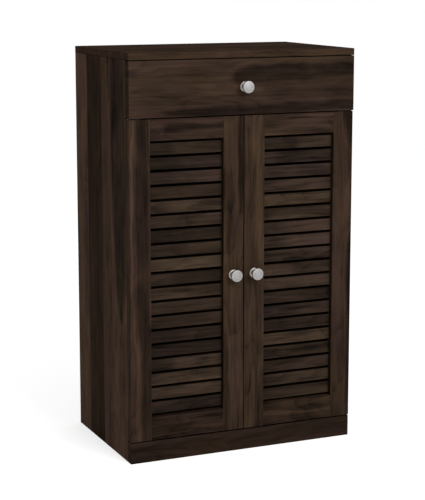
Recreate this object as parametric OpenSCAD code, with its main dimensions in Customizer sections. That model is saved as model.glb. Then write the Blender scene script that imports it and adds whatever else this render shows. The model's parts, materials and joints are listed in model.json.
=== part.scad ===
// Free-standing shoe cabinet: a drawer over two doors filled with flat slats, three shelves inside.
// X runs left to right, the front faces -Y, Z is up; the floor is z = 0.

/* [Cabinet] */
// Width across the side panels
cabinet_w = 600; // [500:10:760]
// Depth from the door faces to the rear edge
cabinet_d = 385; // [340:5:450]
// Height from the floor to the top face
cabinet_h = 1000; // [880:10:1150]

/* [Panels] */
// Thickness of the top board
top_t = 17; // [15:1:24]
// Thickness of the side, bottom and divider panels
panel_t = 18; // [16:1:22]
// Thickness of the back panel
back_t = 6; // [4:1:9]
// Width of the rebate that holds the back panel
back_lap = 9; // [7:1:12]
// Height of the plinth board
plinth_h = 53; // [45:1:80]
// Thickness of the plinth board
plinth_t = 22; // [20:1:25]
// Radius of the eased long edges
edge_r = 0.8; // [0.5:0.1:2]
// Width of the front stretcher under the top board
stretcher_w = 60; // [45:1:80]
// Height of the rail against the back panel
back_rail_h = 60; // [45:1:70]

/* [Shelves] */
// Thickness of the shelves
shelf_t = 16; // [14:1:20]
// Distance of the shelf front edges behind the carcass front
shelf_setback = 20; // [18:1:40]
// Play at each shelf end
shelf_play = 1; // [0.5:0.1:2]
// Diameter of the shelf pins
shelf_pin_d = 5; // [4:0.5:7]
// Length of a shelf pin out of the side panel
shelf_pin_out = 10; // [8:1:14]
// Depth of a shelf pin in the side panel
shelf_pin_in = 10; // [8:1:12]

/* [Fronts] */
// Gap between neighbouring fronts
reveal = 2.5; // [2.3:0.1:3.5]
// Gap between the drawer front and the top board
top_reveal = 1; // [0.8:0.1:2.5]
// Gap between the backs of the fronts and the carcass
back_gap = 1.6; // [1.5:0.1:2.5]
// Thickness of the doors
door_t = 22; // [21:0.5:25]
// Thickness of the drawer front
drawer_front_t = 25; // [22:1:28]
// Height of the drawer front
drawer_front_h = 136.5; // [120:0.5:170]

/* [Slatted doors] */
// Width of the door stiles
stile_w = 54; // [50:1:70]
// Height of the top rails
top_rail_h = 52; // [45:1:70]
// Height of the bottom rails
bottom_rail_h = 57; // [50:1:80]
// Length of the rail tenons
tenon_l = 22; // [15:1:23]
// Thickness of the rail tenons
tenon_t = 8; // [6:1:9]
// Shoulder above and below each tenon
tenon_shoulder = 8; // [5:1:12]
// Number of slats in each door
slat_count = 19; // [12:1:22]
// Open gap between slats
slat_gap = 6; // [4:0.1:8]
// Thickness of the slats
slat_t = 8; // [6:0.5:9]
// Depth of the slat faces behind the frame faces
slat_setback = 11; // [8:0.5:11.5]
// Depth of the slat ends in the stiles
slat_seat = 8; // [6:1:12]

/* [Drawer] */
// Thickness of the drawer sides, back and inner front
drawer_wall_t = 15; // [14:1:18]
// Thickness of the drawer bottom
drawer_bottom_t = 4; // [3:0.5:6]
// Depth of the grooves and housings in the drawer sides
drawer_groove = 4; // [3:0.5:5]
// Height of the drawer bottom above the lower edges of the sides
drawer_bottom_up = 7; // [5:1:12]
// Clear space between the drawer box and the divider
drawer_under_gap = 5; // [4:0.5:8]
// Clear space between the drawer box and the front stretcher
drawer_over_gap = 11.5; // [5:0.5:20]
// Clear space behind the drawer box
drawer_rear_gap = 4; // [2:1:12]
// Gap between the drawer sides and the side panels
drawer_side_gap = 2; // [1:0.25:3]
// Height of the drawer runners
runner_h = 18; // [14:1:24]
// Thickness of the drawer runners
runner_t = 10; // [9:0.5:10.5]
// Distance of the runners behind the carcass front
runner_setback = 8; // [6:1:20]
// Play between a runner and its groove
runner_play = 0.5; // [0.3:0.1:1]
// Thickness of the block that stops the drawer
stop_t = 16; // [16:1:22]
// Width of the block that stops the drawer
stop_w = 40; // [25:1:80]

/* [Knobs] */
// Diameter of the knob head
knob_d = 30; // [26:1:36]
// Thickness of the knob head
knob_head_t = 8; // [6:0.5:10]
// Diameter of the knob rose
knob_rose_d = 26; // [24:1:34]
// Thickness of the knob rose
knob_rose_t = 4; // [3:0.5:6]
// Diameter of the knob neck
knob_neck_d = 13; // [10:1:16]
// Reach of a knob out of the front that carries it
knob_reach = 25; // [23:1:34]
// Diameter of the knob screws
knob_screw_d = 4; // [3:0.5:5]
// Depth of the screw hole in a knob
knob_bore = 14; // [10:1:18]

/* [Pivot hinges] */
// Distance of a pivot from the door's outer edge
pivot_inset = 5; // [4.5:0.5:5.5]
// Distance of a pivot from the door's back face
pivot_depth = 12; // [11:0.5:12.5]
// Diameter of the pivot pins
pivot_d = 5; // [4:0.5:5]
// Length of the pivot pins in the door
pivot_l = 15; // [12:1:22]
// Thickness of the pivot plates
pivot_plate_t = 1.5; // [1:0.1:1.6]
// Width of the pivot plates
pivot_plate_w = 11; // [9:0.5:12]
// Length of the pivot plates
pivot_plate_l = 52; // [48:1:60]
// Length of an upper plate on the divider
pivot_tail_l = 38; // [30:1:60]

/* [Catches] */
// Height of a magnetic catch
catch_h = 14; // [12:1:18]
// Depth of a magnetic catch
catch_d = 15; // [12:1:18]
// Thickness of the strike plates
strike_t = 1.2; // [0.8:0.1:1.6]
// Width of the strike plates
strike_w = 22; // [18:1:26]
// Distance of the strike plates' middle from the cabinet's middle
strike_x = 20; // [16:1:24]

/* [Fixings] */
// Diameter of the dowels
dowel_d = 8; // [6:1:8]
// Length of a dowel in the end of a panel
dowel_end_l = 20; // [15:1:30]
// Length of a dowel in the face of a panel
dowel_face_l = 11; // [8:1:12]
// Diameter of the small wood screws
screw_d = 3.5; // [3:0.1:4]
// Length of the small wood screws
screw_l = 16; // [14:1:17]
// Diameter of the screws in the doors' fittings
door_screw_d = 2.5; // [2:0.1:3]
// Length of the screws in the doors' fittings
door_screw_l = 14; // [10:1:15]
// Diameter of the drawer and top screws
long_screw_d = 4; // [3.5:0.1:4.5]
// Length of the drawer and top screws
long_screw_l = 28; // [26:1:29]
// Play round a pin that turns
turn_play = 0.05; // [0.02:0.01:0.1]
// Play round a glued or screwed piece
fit_play = 0.1; // [0.05:0.01:0.2]

/* [Hidden] */
$fn = 48;
wood_front = "#4e3c31";
wood_side = "#463529";
wood_slat = "#56443a";
wood_pale = "#8a6f55";
ply = "#a58a66";
steel = "#b9bbbd";
dark_steel = "#3b3734";
satin_metal = "#c4c2c1";
plastic = "#2c2a29";
clear_rubber = "#d8d8d4";

// Depths: the carcass, its front plane and the door faces
front_reach = back_gap + drawer_front_t + knob_reach;
carcass_d = cabinet_d - door_t - back_gap;
carcass_y = (front_reach - carcass_d) / 2;
door_back_y = carcass_y - back_gap;
door_y = door_back_y - door_t;
rear_y = carcass_y + carcass_d;
back_y = rear_y - back_t;

// Widths
left_x = -cabinet_w / 2;
inner_x = left_x + panel_t;
inner_w = cabinet_w - 2 * panel_t;
door_w = (cabinet_w - reveal) / 2;
meeting_x = left_x + door_w - stile_w;
field_x = left_x + stile_w;
field_w = door_w - 2 * stile_w;

// Heights
side_h = cabinet_h - top_t;
door_z = plinth_h + reveal;
drawer_front_z = side_h - top_reveal - drawer_front_h;
door_top_z = drawer_front_z - reveal;
door_h = door_top_z - door_z;
divider_top_z = door_top_z + (reveal - pivot_plate_t) / 2;
divider_z = divider_top_z - panel_t;
floor_step = 0.5;
inner_floor_z = door_z - floor_step;
bottom_z = inner_floor_z - panel_t;
tier_h = (divider_z - inner_floor_z - 3 * shelf_t) / 4;
stretcher_z = side_h - panel_t;

// Slats: equal pieces with an open gap above and below each
field_z = door_z + bottom_rail_h;
field_h = door_h - bottom_rail_h - top_rail_h;
slat_h = (field_h - (slat_count + 1) * slat_gap) / slat_count;
slat_pitch = slat_h + slat_gap;
slat_y = door_y + slat_setback;
knob_door_z = field_z + field_h / 2;

// Drawer box
box_x = inner_x + drawer_side_gap;
box_w = inner_w - 2 * drawer_side_gap;
box_l = back_y - panel_t - drawer_rear_gap - door_back_y;
box_z = divider_top_z + drawer_under_gap;
box_h = stretcher_z - drawer_over_gap - box_z;
box_rear_y = door_back_y + box_l;
back_base_z = box_z + drawer_bottom_up + drawer_bottom_t;
panel_in = drawer_wall_t - drawer_groove;
drawer_face_y = door_back_y - drawer_front_t;
drawer_grip = drawer_front_t + drawer_wall_t;
runner_z = box_z + box_h / 2 - runner_h / 2;
runner_y = carcass_y + runner_setback;
groove_front = 4;
groove_depth = runner_t - drawer_side_gap + runner_play;
drawer_mid_z = drawer_front_z + drawer_front_h / 2;
stop_grip = 16;
stop_lap = 7;

// Pivots: screw distances are counted from the pivot, and on the tail from the carcass front
pivot_x = left_x + pivot_inset;
pivot_y = door_back_y - pivot_depth;
pivot_collar_d = 9;
plate_end_x = left_x + 1;
plate_screws = [18, 36];
socket_l = 29;
socket_w = 12;
socket_screws = [9, 18];
socket_wood_gap = 0.5;
tail_w = 16;
tail_x = inner_x + 2;
tail_screws = [12, pivot_tail_l - 8];

// Catches
catch_gap = 0.1;
catch_y = door_back_y + strike_t + catch_gap;
catch_core_w = 2 * strike_x + strike_w;
catch_ear_l = 12;
catch_ear_t = 4;
strike_h = catch_h - 2;
strike_z = [inner_floor_z + catch_h / 2, divider_z - catch_h / 2];
magnet_rim = 3;
magnet_d = 6;

// Fixings
screw_head_d = 2 * screw_d;
long_head_d = 2 * long_screw_d;
tip_l = 3;
tip_d = 1;
dowel_rows = 3;
dowel_end_in = 75;
shelf_pin_rows = [carcass_y + shelf_setback + 40, back_y - 50];
runner_l = back_y - panel_t - runner_y;
knob_waist = 1.6;
knob_rim_r = 1.5;
knob_ring_d = 18;
knob_ring_r = 0.5;
knob_screw_head_h = 2.5;
knob_x = (reveal + stile_w) / 2;
bumper_d = 8;
bumper_gap = 0.1;
block_l = 60;
block_side = 22;

// ---- Shapes that repeat ----

// Rectangle with its corners eased
module eased_rect(w, h, r) {
  translate([r, 0]) square([w - 2 * r, h]);
  translate([0, r]) square([w, h - 2 * r]);
  for (x = [r, w - r], y = [r, h - r]) {
    translate([x, y]) circle(r);
  }
}

// Boards with the four long edges eased; the name gives the direction of the grain
module board_x(l, d, h, r = edge_r) {
  rotate([90, 0, 90]) linear_extrude(l) eased_rect(d, h, r);
}

module board_y(w, l, h, r = edge_r) {
  translate([0, l, 0]) rotate([90, 0, 0]) linear_extrude(l) eased_rect(w, h, r);
}

module board_z(w, d, l, r = edge_r) {
  linear_extrude(l) eased_rect(w, d, r);
}

// The same thing on the left and on the right
module both_sides() {
  children();
  mirror([1, 0, 0]) children();
}

// Countersunk wood screw, driven down from z = 0; play makes its hole
module wood_screw(d, l, head_d, play = 0) {
  head_h = (head_d - d) / 2;
  translate([0, 0, -head_h]) cylinder(h = head_h, d1 = d + 2 * play, d2 = head_d + 2 * play);
  translate([0, 0, tip_l - l]) cylinder(h = l - tip_l, d = d + 2 * play);
  translate([0, 0, -l]) cylinder(h = tip_l, d1 = tip_d + 2 * play, d2 = d + 2 * play);
}

module small_screw(play = 0) {
  wood_screw(screw_d, screw_l, screw_head_d, play);
}

module long_screw(play = 0) {
  wood_screw(long_screw_d, long_screw_l, long_head_d, play);
}

// Dowel along X or Z, from a panel's face into a panel's end
module dowel(play = 0) {
  translate([0, 0, -dowel_face_l]) cylinder(h = dowel_face_l + dowel_end_l, d = dowel_d + 2 * play);
}

// Rebates that hold the back panel, in both side panels
module back_rebate() {
  translate([left_x + panel_t - back_lap, back_y, bottom_z])
    cube([cabinet_w - 2 * (panel_t - back_lap), back_t + 1, side_h - bottom_z + 1]);
}

// ---- Fixings that several pieces share; play makes their holes ----

function dowel_y(k) = carcass_y + dowel_end_in
  + k * (carcass_d - back_t - 2 * dowel_end_in) / (dowel_rows - 1);

// Dowels of the left side panel: [y, z] of those that enter its inner face
function face_dowels() = concat(
  [for (z = [bottom_z, divider_z], k = [0 : dowel_rows - 1]) [dowel_y(k), z + panel_t / 2]],
  [for (t = [1, 3]) [carcass_y + t * stretcher_w / 4, stretcher_z + panel_t / 2]],
  [for (t = [1, 3]) [back_y - panel_t / 2, side_h - back_rail_h + t * back_rail_h / 4]]
);

module dowels(play = 0) {
  both_sides() {
    for (p = face_dowels()) {
      translate([inner_x, p[0], p[1]]) rotate([0, 90, 0]) dowel(play);
    }
    for (k = [0 : dowel_rows - 1]) {
      translate([left_x + panel_t / 2, dowel_y(k), side_h]) rotate([180, 0, 0]) dowel(play);
    }
    for (t = [1, 2]) {
      translate([left_x + panel_t / 2, carcass_y, t * plinth_h / 3]) rotate([-90, 0, 0]) dowel(play);
    }
  }
}

module shelf_pin_set(play = 0) {
  both_sides() {
    for (k = [1 : 3], y = shelf_pin_rows) {
      translate([inner_x - shelf_pin_in, y, shelf_z(k)]) shelf_pin(play);
    }
  }
}

// Pin along X with a flat on its outer end; the flat is the shelf's seat at z = 0
module shelf_pin(play) {
  r = shelf_pin_d / 2;
  flat = shelf_pin_d / 5;
  difference() {
    translate([0, 0, flat - r]) rotate([0, 90, 0])
      cylinder(h = shelf_pin_in + shelf_pin_out, r = r + play);
    translate([shelf_pin_in, -shelf_pin_d, 0]) cube([shelf_pin_out + 1, 2 * shelf_pin_d, shelf_pin_d]);
  }
}

function shelf_z(k) = inner_floor_z + k * tier_h + (k - 1) * shelf_t;

module top_screw_set(play = 0) {
  for (x = [-1, 0, 1] * inner_w / 3) {
    translate([x, carcass_y + stretcher_w / 2, stretcher_z]) rotate([180, 0, 0]) long_screw(play);
  }
}

module back_screw_set(play = 0) {
  side_z = [for (t = [1, 3, 5, 7]) bottom_z + t * (side_h - bottom_z) / 8];
  both_sides() {
    for (z = side_z) {
      translate([inner_x - back_lap / 2, rear_y, z]) rotate([-90, 0, 0]) small_screw(play);
    }
    for (z = [bottom_z + panel_t / 2, divider_z + panel_t / 2, side_h - back_rail_h / 2]) {
      translate([-inner_w / 4, rear_y, z]) rotate([-90, 0, 0]) small_screw(play);
    }
  }
}

// Small screws of the pivot plates, the runners and the catches
module fitting_screw_set(play = 0) {
  both_sides() {
    for (x = plate_screws) {
      translate([pivot_x + x, pivot_y, plinth_h]) small_screw(play);
    }
    for (y = tail_screws) {
      translate([tail_x + tail_w / 2, carcass_y + y, divider_top_z + pivot_plate_t]) small_screw(play);
    }
    for (t = [1, 3, 5]) {
      translate([inner_x + runner_t, runner_y + t * runner_l / 6, runner_z + runner_h / 2])
        rotate([0, 90, 0]) small_screw(play);
    }
    translate([-(catch_core_w + catch_ear_l) / 2, catch_y + catch_d / 2, 0]) {
      translate([0, 0, divider_z - catch_ear_t]) rotate([180, 0, 0]) small_screw(play);
      translate([0, 0, inner_floor_z + catch_ear_t]) small_screw(play);
    }
  }
}

// ---- Carcass ----

module top_board() color(wood_side) {
  difference() {
    translate([left_x, drawer_face_y, side_h]) board_x(cabinet_w, rear_y - drawer_face_y, top_t);
    dowels(fit_play);
    top_screw_set(fit_play);
  }
}

module left_side_panel() color(wood_side) {
  difference() {
    translate([left_x, carcass_y, 0]) board_z(panel_t, carcass_d, side_h);
    back_rebate();
    dowels(fit_play);
    shelf_pin_set(fit_play);
    back_screw_set(fit_play);
    fitting_screw_set(fit_play);
  }
}

module right_side_panel() color(wood_side) {
  mirror([1, 0, 0]) left_side_panel();
}

module bottom_panel() color(wood_side) {
  difference() {
    translate([inner_x, carcass_y, bottom_z]) board_x(inner_w, carcass_d - back_t, panel_t);
    dowels(fit_play);
    back_screw_set(fit_play);
    fitting_screw_set(fit_play);
  }
}

module drawer_divider() color(wood_side) {
  difference() {
    translate([inner_x, carcass_y, divider_z]) board_x(inner_w, carcass_d - back_t, panel_t);
    dowels(fit_play);
    back_screw_set(fit_play);
    fitting_screw_set(fit_play);
  }
}

module plinth_board() color(wood_front) {
  difference() {
    translate([left_x, carcass_y - plinth_t, 0]) board_x(cabinet_w, plinth_t, plinth_h);
    dowels(fit_play);
    fitting_screw_set(fit_play);
    both_sides() lower_plate_blank(fit_play);
  }
}

// Blocks glued into the corner of the plinth and the bottom panel
module plinth_blocks() color(wood_pale) {
  for (x = [-1, 0, 1] * inner_w / 3) {
    translate([x - block_l / 2, carcass_y, bottom_z]) rotate([90, 0, 90])
      linear_extrude(block_l) polygon([[0, 0], [block_side, 0], [0, -block_side]]);
  }
}

module back_panel() color(ply) {
  difference() {
    translate([left_x + panel_t - back_lap + fit_play, back_y, bottom_z])
      cube([cabinet_w - 2 * (panel_t - back_lap + fit_play), back_t, side_h - bottom_z]);
    back_screw_set(fit_play);
  }
}

module front_stretcher() color(wood_side) {
  difference() {
    translate([inner_x, carcass_y, stretcher_z]) board_x(inner_w, stretcher_w, panel_t);
    dowels(fit_play);
    top_screw_set(fit_play);
  }
}

module back_rail() color(wood_side) {
  difference() {
    translate([inner_x, back_y - panel_t, side_h - back_rail_h]) board_x(inner_w, panel_t, back_rail_h);
    dowels(fit_play);
    back_screw_set(fit_play);
  }
}

module shelf(k) color(wood_side) {
  translate([inner_x + shelf_play, carcass_y + shelf_setback, shelf_z(k)])
    board_x(inner_w - 2 * shelf_play, carcass_d - back_t - shelf_setback - shelf_play, shelf_t);
}

module lower_shelf() shelf(1);
module middle_shelf() shelf(2);
module upper_shelf() shelf(3);

module shelf_pins() color(steel) shelf_pin_set();
module carcass_dowels() color(wood_pale) dowels();
module top_screws() color(steel) top_screw_set();
module back_panel_screws() color(steel) back_screw_set();
module fitting_screws() color(steel) fitting_screw_set();

// Hardwood strip that the drawer side's groove slides along
module left_drawer_runner() color(wood_pale) {
  difference() {
    translate([inner_x, runner_y, runner_z]) board_y(runner_t, runner_l, runner_h);
    fitting_screw_set(fit_play);
  }
}

module right_drawer_runner() color(wood_pale) {
  mirror([1, 0, 0]) left_drawer_runner();
}

// ---- Magnetic catches: one body serves both doors ----

// Body lying on z = 0 with a screw ear at each end
module catch_body() {
  full_w = catch_core_w + 2 * catch_ear_l;
  translate([-catch_core_w / 2, catch_y, 0]) cube([catch_core_w, catch_d, catch_h]);
  translate([-full_w / 2, catch_y, 0]) cube([full_w, catch_d, catch_ear_t]);
}

// Magnets in the face of a catch, one behind each strike plate
module magnet_pair(play = 0) {
  for (x = [-strike_x, strike_x]) {
    translate([x - strike_w / 2 + magnet_rim - play, catch_y, magnet_rim - play])
      cube([strike_w - 2 * (magnet_rim - play), magnet_d, catch_h - 2 * (magnet_rim - play)]);
  }
}

module lower_catch() color(plastic) {
  difference() {
    translate([0, 0, inner_floor_z]) catch_body();
    translate([0, 0, inner_floor_z]) magnet_pair(fit_play);
    fitting_screw_set(fit_play);
  }
}

module upper_catch() color(plastic) {
  difference() {
    translate([0, 0, divider_z]) mirror([0, 0, 1]) catch_body();
    translate([0, 0, divider_z]) mirror([0, 0, 1]) magnet_pair(fit_play);
    fitting_screw_set(fit_play);
  }
}

module catch_magnets() color(steel) {
  translate([0, 0, inner_floor_z]) magnet_pair();
  translate([0, 0, divider_z]) mirror([0, 0, 1]) magnet_pair();
}

// ---- Pivot hinges: a pin on a flat plate above and below each door ----

module lower_plate_blank(play = 0) {
  translate([plate_end_x - play, pivot_y - pivot_plate_w / 2 - play, plinth_h - pivot_plate_t])
    cube([pivot_plate_l + 2 * play, pivot_plate_w + 2 * play, pivot_plate_t]);
}

// Plate let into the plinth; its collar keeps the door off the plinth
module left_lower_pivot() color(dark_steel) {
  difference() {
    lower_plate_blank();
    fitting_screw_set(fit_play);
  }
  translate([pivot_x, pivot_y, plinth_h]) {
    cylinder(h = reveal - catch_gap, d = pivot_collar_d);
    cylinder(h = reveal + pivot_l, d = pivot_d);
  }
}

// Cranked plate on the divider; its arm reaches out over the door through the reveal
module left_upper_pivot() color(dark_steel) {
  difference() {
    translate([0, 0, divider_top_z]) linear_extrude(pivot_plate_t) {
      translate([plate_end_x, pivot_y - pivot_plate_w / 2])
        square([tail_x + tail_w - plate_end_x, pivot_plate_w]);
      translate([tail_x, pivot_y])
        square([tail_w, carcass_y + pivot_tail_l - pivot_y]);
    }
    fitting_screw_set(fit_play);
  }
  translate([pivot_x, pivot_y, door_top_z - pivot_l])
    cylinder(h = divider_top_z - door_top_z + pivot_l, d = pivot_d);
}

module right_lower_pivot() color(steel) {
  mirror([1, 0, 0]) left_lower_pivot();
}

module right_upper_pivot() color(steel) {
  mirror([1, 0, 0]) left_upper_pivot();
}

// ---- Knobs ----

// Turned knob on z = 0 with its face up: rose, waisted neck, domed head with a ring turned in its face
module knob() {
  neck_l = knob_reach - knob_head_t - knob_rose_t;
  difference() {
    rotate_extrude() {
      turned_disc(knob_rose_d / 2, knob_rose_t);
      difference() {
        translate([0, knob_rose_t]) square([knob_neck_d / 2, neck_l]);
        translate([knob_neck_d / 2 - knob_waist + neck_l, knob_rose_t + neck_l / 2]) circle(neck_l);
      }
      difference() {
        translate([0, knob_reach - knob_head_t]) turned_disc(knob_d / 2, knob_head_t);
        translate([knob_ring_d / 2, knob_reach]) circle(knob_ring_r);
      }
    }
    translate([0, 0, -1]) cylinder(h = 1 + knob_bore, d = knob_screw_d + 2 * fit_play);
  }
}

// Half section of a disc with rounded rims
module turned_disc(r, t) {
  square([r - knob_rim_r, t]);
  translate([0, knob_rim_r]) square([r, t - 2 * knob_rim_r]);
  for (y = [knob_rim_r, t - knob_rim_r]) {
    translate([r - knob_rim_r, y]) circle(knob_rim_r);
  }
}

// Pan head screw from the back of a front of thickness t into the knob
module knob_screw(t, play = 0) {
  translate([0, 0, -t - knob_screw_head_h]) cylinder(h = knob_screw_head_h, d = 2 * knob_screw_d);
  translate([0, 0, -t]) cylinder(h = t + knob_bore - 1, d = knob_screw_d + 2 * play);
}

// Puts a knob's foot on the front face at y, its face towards -Y
module on_front(x, y, z) {
  translate([x, y, z]) rotate([90, 0, 0]) children();
}

// ---- Drawer ----

module drawer_screw_set(play = 0) {
  for (x = [-1, 1] * box_w / 3, z = [-1, 1] * box_h / 4) {
    translate([x, door_back_y + drawer_wall_t, drawer_mid_z + z]) rotate([-90, 0, 0]) long_screw(play);
  }
  translate([0, box_rear_y - drawer_wall_t - stop_t, box_z + box_h - stop_grip / 2])
    rotate([90, 0, 0]) long_screw(play);
}

module drawer_knob_screw_shape(play = 0) {
  on_front(0, drawer_face_y, drawer_mid_z) knob_screw(drawer_grip, play);
}

module drawer_front() color(wood_front) {
  difference() {
    translate([left_x, drawer_face_y, drawer_front_z]) board_x(cabinet_w, drawer_front_t, drawer_front_h);
    drawer_screw_set(fit_play);
    drawer_knob_screw_shape(fit_play);
  }
}

// Sheet that fills the bottom grooves
module drawer_bottom_sheet(play = 0) {
  translate([box_x + panel_in, door_back_y + panel_in, box_z + drawer_bottom_up - play])
    cube([box_w - 2 * panel_in, box_l - panel_in, drawer_bottom_t + 2 * play]);
}

module drawer_inner_front() color(wood_pale) {
  difference() {
    translate([box_x + panel_in, door_back_y, box_z])
      board_x(box_w - 2 * panel_in, drawer_wall_t, box_h);
    drawer_bottom_sheet(fit_play);
    drawer_screw_set(fit_play);
    drawer_knob_screw_shape(fit_play);
  }
}

// Back: it stands on the bottom sheet, between the sides
module drawer_back() color(wood_pale) {
  difference() {
    translate([box_x + panel_in, box_rear_y - drawer_wall_t, back_base_z])
      board_x(box_w - 2 * panel_in, drawer_wall_t, box_z + box_h - back_base_z);
    drawer_screw_set(fit_play);
  }
}

module drawer_left_side() color(wood_pale) {
  difference() {
    translate([box_x, door_back_y, box_z]) board_y(drawer_wall_t, box_l, box_h);
    drawer_bottom_sheet(fit_play);
    translate([box_x + panel_in, door_back_y - 1, box_z - 1])
      cube([drawer_wall_t, drawer_wall_t + 1, box_h + 2]);
    translate([box_x + panel_in, box_rear_y - drawer_wall_t, back_base_z])
      cube([drawer_wall_t, drawer_wall_t + 1, box_h + 2]);
    runner_groove();
  }
}

// Groove round the runner: closed near the front, open at the rear
module runner_groove() {
  translate([box_x - 1, runner_y - groove_front, runner_z - runner_play])
    cube([groove_depth + 1, box_l, runner_h + 2 * runner_play]);
}

module drawer_right_side() color(wood_pale) {
  mirror([1, 0, 0]) drawer_left_side();
}

module drawer_bottom() color(ply) drawer_bottom_sheet();

// Block on the drawer back that meets the front stretcher when the drawer is fully out
module drawer_stop_block() color(wood_pale) {
  difference() {
    translate([-stop_w / 2, box_rear_y - drawer_wall_t - stop_t, box_z + box_h - stop_grip])
      board_x(stop_w, stop_t, stop_grip + drawer_over_gap + stop_lap);
    drawer_screw_set(fit_play);
  }
}

module drawer_screws() color(steel) drawer_screw_set();

// Clear stick-on dots that meet the side panels' front edges
module drawer_bumpers() color(clear_rubber) {
  both_sides() {
    for (z = [-1, 1] * drawer_front_h / 3) {
      translate([left_x + panel_t / 2, door_back_y, drawer_mid_z + z]) rotate([-90, 0, 0])
        cylinder(h = back_gap - bumper_gap, d = bumper_d);
    }
  }
}

module drawer_knob() color(satin_metal) {
  on_front(0, drawer_face_y, drawer_mid_z) knob();
}

module drawer_knob_screw() color(steel) drawer_knob_screw_shape();

// ---- Slatted doors: the left one is drawn, the right one mirrors it ----

// Rails with their tenons; play makes the mortises
module rail(z, h, play = 0) {
  if (play == 0) {
    translate([field_x, door_y, z]) board_x(field_w, door_t, h);
  }
  translate([field_x - tenon_l, door_y + (door_t - tenon_t) / 2 - play, z + tenon_shoulder - play])
    cube([field_w + 2 * tenon_l, tenon_t + 2 * play, h - 2 * tenon_shoulder + 2 * play]);
}

module top_rail(play = 0) rail(door_top_z - top_rail_h, top_rail_h, play);
module bottom_rail(play = 0) rail(door_z, bottom_rail_h, play);

// Slats with their ends in the stiles; play makes the seats
module slat_set(play = 0) {
  for (k = [0 : slat_count - 1]) {
    translate([field_x - slat_seat, slat_y - play, field_z + slat_gap + k * slat_pitch - play])
      board_x(field_w + 2 * slat_seat, slat_t + 2 * play, slat_h + 2 * play);
  }
}

// Plate with the pin's hole, let into the end of the hinge stile at z; up is 1 or -1
module socket_plate(z, up, play = 0) {
  translate([plate_end_x - play, pivot_y - socket_w / 2 - play, up > 0 ? z : z - pivot_plate_t])
    cube([socket_l + 2 * play, socket_w + 2 * play, pivot_plate_t]);
}

// Holes for the pins, a little deeper than the pins are long
module pin_holes(d) {
  for (z = [door_z, door_top_z - pivot_l] - [1, 1]) {
    translate([pivot_x, pivot_y, z]) cylinder(h = pivot_l + 2, d = d);
  }
}

// Screws of the pivot sockets and the strike plates
module door_screw_set(play = 0) {
  for (x = socket_screws) {
    translate([pivot_x + x, pivot_y, door_z]) rotate([180, 0, 0]) door_screw(play);
    translate([pivot_x + x, pivot_y, door_top_z]) door_screw(play);
  }
  for (z = strike_z) {
    translate([-strike_x, door_back_y + strike_t, z]) rotate([-90, 0, 0]) door_screw(play);
  }
}

module door_screw(play = 0) {
  wood_screw(door_screw_d, door_screw_l, 2 * door_screw_d, play);
}

module left_knob_screw_shape(play = 0) {
  on_front(-knob_x, door_y, knob_door_z) knob_screw(door_t, play);
}

module left_hinge_stile() color(wood_front) {
  difference() {
    translate([left_x, door_y, door_z]) board_z(stile_w, door_t, door_h);
    top_rail(fit_play);
    bottom_rail(fit_play);
    slat_set(fit_play);
    socket_plate(door_z, 1, fit_play);
    socket_plate(door_top_z, -1, fit_play);
    pin_holes(pivot_d + 2 * socket_wood_gap);
    door_screw_set(fit_play);
  }
}

module left_meeting_stile() color(wood_front) {
  difference() {
    translate([meeting_x, door_y, door_z]) board_z(stile_w, door_t, door_h);
    top_rail(fit_play);
    bottom_rail(fit_play);
    slat_set(fit_play);
    door_screw_set(fit_play);
    left_knob_screw_shape(fit_play);
  }
}

module left_top_rail() color(wood_front) top_rail();
module left_bottom_rail() color(wood_front) bottom_rail();
module left_slats() color(wood_slat) slat_set();

module left_pivot_sockets() color(dark_steel) {
  difference() {
    union() {
      socket_plate(door_z, 1);
      socket_plate(door_top_z, -1);
    }
    pin_holes(pivot_d + 2 * turn_play);
    door_screw_set(fit_play);
  }
}

module left_strike_plates() color(steel) {
  difference() {
    for (z = strike_z) {
      translate([-strike_x - strike_w / 2, door_back_y, z - strike_h / 2])
        cube([strike_w, strike_t, strike_h]);
    }
    door_screw_set(fit_play);
  }
}

module left_door_screws() color(steel) door_screw_set();

module left_door_knob() color(satin_metal) {
  on_front(-knob_x, door_y, knob_door_z) knob();
}

module left_knob_screw() color(steel) left_knob_screw_shape();

module right_hinge_stile() mirror([1, 0, 0]) left_hinge_stile();
module right_meeting_stile() mirror([1, 0, 0]) left_meeting_stile();
module right_top_rail() mirror([1, 0, 0]) left_top_rail();
module right_bottom_rail() mirror([1, 0, 0]) left_bottom_rail();
module right_slats() mirror([1, 0, 0]) left_slats();
module right_pivot_sockets() mirror([1, 0, 0]) left_pivot_sockets();
module right_strike_plates() mirror([1, 0, 0]) left_strike_plates();
module right_door_screws() mirror([1, 0, 0]) left_door_screws();
module right_door_knob() mirror([1, 0, 0]) left_door_knob();
module right_knob_screw() mirror([1, 0, 0]) left_knob_screw();

top_board();
left_side_panel();
right_side_panel();
bottom_panel();
drawer_divider();
plinth_board();
plinth_blocks();
back_panel();
front_stretcher();
back_rail();
lower_shelf();
middle_shelf();
upper_shelf();
shelf_pins();
carcass_dowels();
top_screws();
back_panel_screws();
fitting_screws();
left_drawer_runner();
right_drawer_runner();
upper_catch();
lower_catch();
catch_magnets();
left_lower_pivot();
left_upper_pivot();
right_lower_pivot();
right_upper_pivot();
drawer_front();
drawer_inner_front();
drawer_left_side();
drawer_right_side();
drawer_back();
drawer_bottom();
drawer_stop_block();
drawer_screws();
drawer_bumpers();
drawer_knob();
drawer_knob_screw();
left_hinge_stile();
left_meeting_stile();
left_top_rail();
left_bottom_rail();
left_slats();
left_pivot_sockets();
left_strike_plates();
left_door_screws();
left_door_knob();
left_knob_screw();
right_hinge_stile();
right_meeting_stile();
right_top_rail();
right_bottom_rail();
right_slats();
right_pivot_sockets();
right_strike_plates();
right_door_screws();
right_door_knob();
right_knob_screw();
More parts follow.
